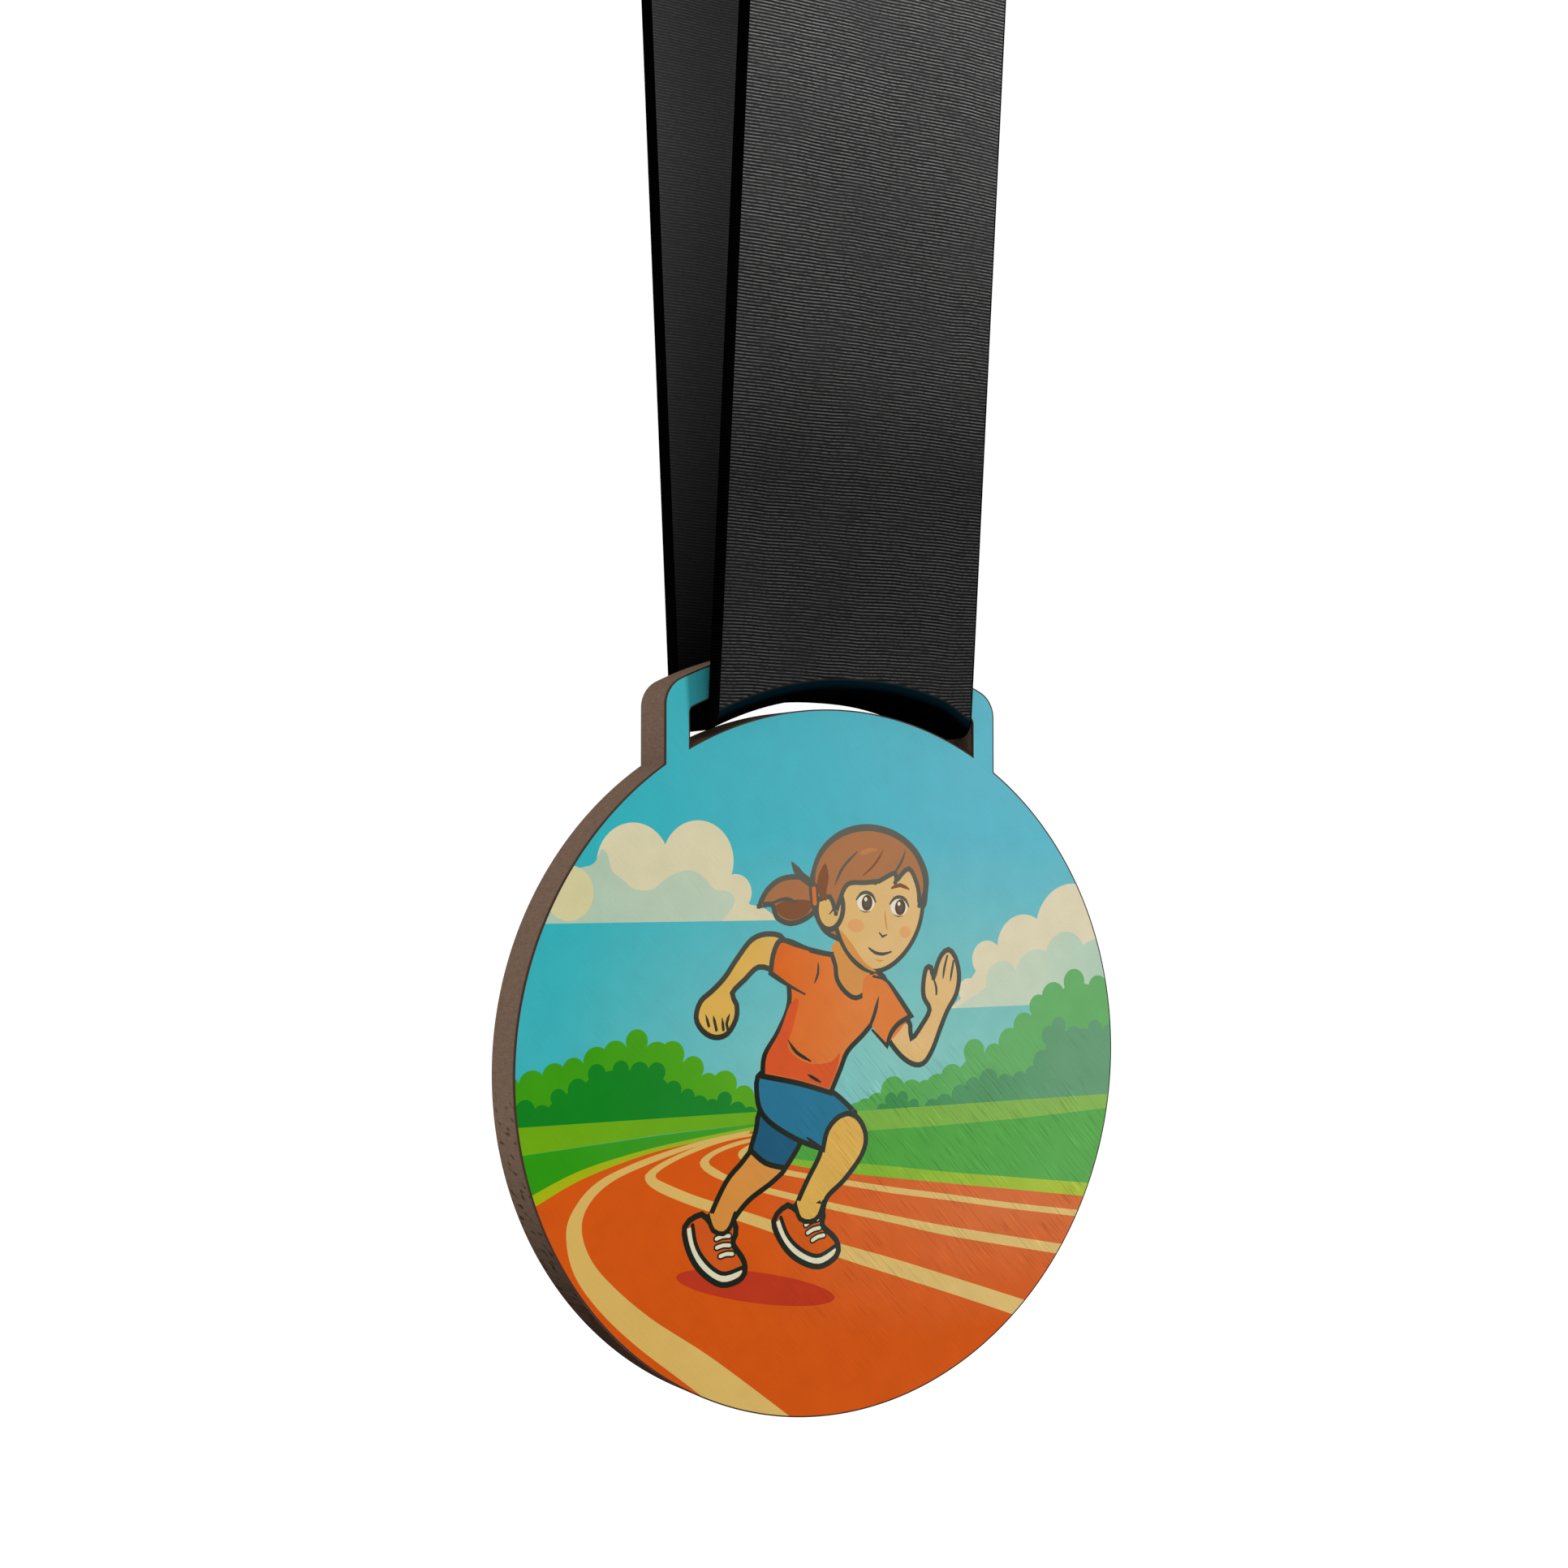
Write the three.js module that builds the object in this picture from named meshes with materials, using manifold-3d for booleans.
// Finisher medal: a laser-cut fibreboard disc with a slotted hanger, a printed
// film on its front, and a woven neck ribbon looped through the slot.
// Millimetres, +Z up, the medal faces -Y. The origin is where the loop of
// ribbon rests on what it hangs from: the underside of its top bend, on the
// board's middle plane.
import * as THREE from "three";
import { mergeVertices } from "three/addons/utils/BufferGeometryUtils.js";
import Module from "manifold-3d";

const wasm = await Module();
wasm.setup();

// ---- driving dimensions ----------------------------------------------------
const DISC_R = 25.0; // disc radius
const BOARD_BACK = 1.875; // back face of the board, from the middle plane
const BOARD_FRONT = -1.75; // front face of the bare board
const PRINT_FRONT = -1.875; // front of the printed film
const HANGER_HALF = 13.88; // half the width over the two uprights
const HANGER_R = 29.6; // outer arc of the crossbar, about the disc's centre
const HANGER_FILLET = 2.1; // outer corner radius
const SLOT_HALF = 11.95; // half the slot's width
const SLOT_R = 27.4; // arc of the slot's upper edge; its lower edge is the disc's own
const SLOT_FILLET = 0.45; // corner radius at the slot's upper corners

const RIBBON_W = 21.6; // ribbon width
const RIBBON_T = 1.35; // ribbon thickness
const LEAN = (5 * Math.PI) / 180; // how far each strand leans out from the vertical
const STRAND_OUT_30 = 3.98; // outer face of a strand from the middle plane, 30 mm over the disc's centre
const LOOP_TANGENT = 89.0; // height over the disc's centre where the strands meet the top bend
const TWIST_CUT = 62.0; // height of the joint between the upper and lower ribbon
const LAP_LOW = 79.4; // the sewn overlap of the ribbon's two ends
const LAP_HIGH = 88.4;

const SWING_Z = 26.5; // height of the swing axis over the disc's centre
const BIGHT_R = 4.8; // the bight is what lies inside this radius of the swing axis
const GAP = 0.3; // clearance between pieces that touch

// strand centreline and the top bend that joins the two
const strandMid = (z) =>
  STRAND_OUT_30 - RIBBON_T / 2 / Math.cos(LEAN) + Math.tan(LEAN) * (z - 30);
const LOOP_R = strandMid(LOOP_TANGENT) / Math.cos(LEAN);
const LOOP_Z = LOOP_TANGENT + LOOP_R * Math.sin(LEAN);
const DISC_Z = -(LOOP_Z + LOOP_R - RIBBON_T / 2); // disc centre in the part's frame

// ---- materials ---------------------------------------------------------------
const board = new THREE.MeshStandardMaterial({
  name: "fibreboard",
  color: 0x6a5548,
  roughness: 0.85,
  metalness: 0,
});
const print = new THREE.MeshStandardMaterial({
  name: "printed_film",
  color: 0x4ba8be,
  roughness: 0.5,
  metalness: 0,
});
const webbing = new THREE.MeshStandardMaterial({
  name: "woven_ribbon",
  color: 0x1c1c1e,
  roughness: 0.9,
  metalness: 0,
});
const thread = new THREE.MeshStandardMaterial({
  name: "sewing_thread",
  color: 0x161616,
  roughness: 0.7,
  metalness: 0,
});

// ---- helpers -------------------------------------------------------------------
function arc(cx, cz, r, a0, a1, n) {
  const pts = [];
  for (let i = 0; i <= n; i++) {
    const a = a0 + ((a1 - a0) * i) / n;
    pts.push(new THREE.Vector2(cx + r * Math.cos(a), cz + r * Math.sin(a)));
  }
  return pts;
}

// An outline in the XZ plane, about the disc's centre, made solid from y0 to y1.
function slabXZ(outline, holes, y0, y1) {
  const shape = new THREE.Shape(outline);
  for (const h of holes) shape.holes.push(new THREE.Path(h));
  const g = new THREE.ExtrudeGeometry(shape, {
    depth: y1 - y0,
    bevelEnabled: false,
    steps: 1,
  });
  g.rotateX(Math.PI / 2); // the outline's second axis becomes Z, the depth runs to -Y
  g.translate(0, y1, DISC_Z);
  return g;
}

// A profile in the YZ plane, about the disc's centre, made solid across the ribbon's width.
function slabYZ(profile, x0, x1) {
  const g = new THREE.ExtrudeGeometry(new THREE.Shape(profile), {
    depth: x1 - x0,
    bevelEnabled: false,
    steps: 1,
  });
  // the profile's (y, z) stay Y and Z, and the depth runs along X
  g.applyMatrix4(
    new THREE.Matrix4().set(0, 0, 1, x0, 1, 0, 0, 0, 0, 1, 0, DISC_Z, 0, 0, 0, 1),
  );
  return g;
}

function solid(geometry) {
  const g = geometry.clone();
  g.deleteAttribute("normal");
  g.deleteAttribute("uv");
  const m = mergeVertices(g, 1e-4);
  return new wasm.Manifold(
    new wasm.Mesh({
      numProp: 3,
      vertProperties: m.attributes.position.array,
      triVerts: new Uint32Array(m.index.array),
    }),
  );
}

function geometryOf(manifold) {
  const m = manifold.getMesh();
  const v = new Float32Array(m.numVert * 3);
  for (let i = 0; i < m.numVert; i++)
    v.set(m.vertProperties.subarray(i * m.numProp, i * m.numProp + 3), i * 3);
  const g = new THREE.BufferGeometry()
    .setAttribute("position", new THREE.BufferAttribute(v, 3))
    .setIndex(new THREE.BufferAttribute(m.triVerts, 1));
  g.computeVertexNormals();
  return g;
}

// A round bar along X on the swing axis.
function swingBar(r) {
  const g = new THREE.CylinderGeometry(r, r, 40, 48);
  g.rotateZ(Math.PI / 2);
  g.translate(0, 0, DISC_Z + SWING_Z);
  return solid(g);
}

function named(name, geometry, material) {
  const mesh = new THREE.Mesh(geometry, material.clone());
  mesh.name = name;
  return mesh;
}

// ---- the medal's outline: disc, uprights and crossbar ---------------------------
function medalOutline() {
  const joint = Math.acos(HANGER_HALF / DISC_R);
  const fx = HANGER_HALF - HANGER_FILLET;
  const fz = Math.sqrt((HANGER_R - HANGER_FILLET) ** 2 - fx ** 2);
  const fa = Math.atan2(fz, fx);
  return [
    new THREE.Vector2(HANGER_HALF, DISC_R * Math.sin(joint)),
    ...arc(fx, fz, HANGER_FILLET, 0, fa, 10),
    ...arc(0, 0, HANGER_R, fa, Math.PI - fa, 36).slice(1),
    ...arc(-fx, fz, HANGER_FILLET, Math.PI - fa, Math.PI, 10).slice(1),
    new THREE.Vector2(-HANGER_HALF, DISC_R * Math.sin(joint)),
    ...arc(0, 0, DISC_R, Math.PI - joint, 2 * Math.PI + joint, 150).slice(1, -1),
  ];
}

// ---- the ribbon slot: two arcs about the disc's centre between straight ends ------
function slotOutline() {
  const low = Math.acos(SLOT_HALF / DISC_R);
  const fx = SLOT_HALF - SLOT_FILLET;
  const fz = Math.sqrt((SLOT_R - SLOT_FILLET) ** 2 - fx ** 2);
  const fa = Math.atan2(fz, fx);
  return [
    ...arc(0, 0, DISC_R, Math.PI - low, low, 32),
    ...arc(fx, fz, SLOT_FILLET, 0, fa, 5),
    ...arc(0, 0, SLOT_R, fa, Math.PI - fa, 32).slice(1),
    ...arc(-fx, fz, SLOT_FILLET, Math.PI - fa, Math.PI, 5).slice(1),
  ];
}

// ---- the ribbon ------------------------------------------------------------------
const half = RIBBON_W / 2;

// Upper ribbon: both strands down to the twist joint, and the bend between them.
function upperLoop() {
  const side = (r, sign) => {
    // the face at distance r from the bend's centre, from the front strand to the rear one
    const pts = [];
    const foot = (s) =>
      new THREE.Vector2(
        s * (strandMid(TWIST_CUT) + (sign * RIBBON_T) / 2 / Math.cos(LEAN)),
        TWIST_CUT,
      );
    pts.push(foot(-1));
    pts.push(...arc(0, LOOP_Z, r, Math.PI + LEAN, -LEAN, 44));
    pts.push(foot(1));
    return pts;
  };
  const outer = side(LOOP_R + RIBBON_T / 2, 1);
  const inner = side(LOOP_R - RIBBON_T / 2, -1);
  return slabYZ([...outer, ...inner.reverse()], -half, half);
}

// Lower strand on one side (-1 front, 1 rear), cut round above the bight.
function lowerStrand(s) {
  const z0 = SWING_Z + 1;
  const z1 = TWIST_CUT - 0.5;
  const t = RIBBON_T / 2 / Math.cos(LEAN);
  const slab = slabYZ(
    [
      new THREE.Vector2(s * (strandMid(z0) - t), z0),
      new THREE.Vector2(s * (strandMid(z0) + t), z0),
      new THREE.Vector2(s * (strandMid(z1) + t), z1),
      new THREE.Vector2(s * (strandMid(z1) - t), z1),
    ],
    -half,
    half,
  );
  return geometryOf(solid(slab).subtract(swingBar(BIGHT_R + GAP)));
}

// The bight: under the crossbar and a little way up each side of it.
function bight() {
  const outY = strandMid(27.5) + RIBBON_T / 2;
  const inY = outY - RIBBON_T;
  const inR = SLOT_R - 0.35;
  const outR = inR - RIBBON_T;
  const band = (r, x) => {
    const a = Math.acos(x / r);
    return arc(0, 0, r, Math.PI - a, a, 24);
  };
  const body = (r, x) => [
    ...band(r, x),
    new THREE.Vector2(x, 33),
    new THREE.Vector2(-x, 33),
  ];
  const outer = solid(slabXZ(body(outR, half), [], -outY, outY));
  const inner = solid(slabXZ(body(inR, half + 1), [], -inY, inY));
  return geometryOf(outer.subtract(inner).intersect(swingBar(BIGHT_R)));
}

// A piece lying on the rear strand's outer face between two heights.
function onRearStrand(zLow, zHigh, from, to, x0, x1) {
  const t = RIBBON_T / 2 / Math.cos(LEAN);
  const y = (z, off) => strandMid(z) + t + off / Math.cos(LEAN);
  return slabYZ(
    [
      new THREE.Vector2(y(zLow, from), zLow),
      new THREE.Vector2(y(zLow, to), zLow),
      new THREE.Vector2(y(zHigh, to), zHigh),
      new THREE.Vector2(y(zHigh, from), zHigh),
    ],
    x0,
    x1,
  );
}

// ---- assembly ---------------------------------------------------------------------
const medal = new THREE.Group();
medal.add(
  named(
    "medal_blank",
    slabXZ(medalOutline(), [slotOutline()], BOARD_FRONT, BOARD_BACK),
    board,
  ),
  named(
    "printed_face",
    slabXZ(medalOutline(), [slotOutline()], PRINT_FRONT, BOARD_FRONT),
    print,
  ),
);

const ribbon = new THREE.Group();
ribbon.add(
  named("ribbon_top_loop", upperLoop(), webbing),
  named("ribbon_front_strand", lowerStrand(-1), webbing),
  named("ribbon_rear_strand", lowerStrand(1), webbing),
  named("ribbon_bight", bight(), webbing),
  named(
    "ribbon_lap_end",
    onRearStrand(LAP_LOW, LAP_HIGH, GAP, GAP + RIBBON_T, -half, half),
    webbing,
  ),
);

const seam = new THREE.Group();
[LAP_LOW + 1.4, LAP_HIGH - 1.4].forEach((z, i) => {
  seam.add(
    named(
      ["seam_stitch_lower", "seam_stitch_upper"][i],
      onRearStrand(
        z - 0.2,
        z + 0.2,
        2 * GAP + RIBBON_T,
        2 * GAP + RIBBON_T + 0.35,
        -half + 1,
        half - 1,
      ),
      thread,
    ),
  );
});

const part = new THREE.Group();
part.add(medal, ribbon, seam);
export default part;
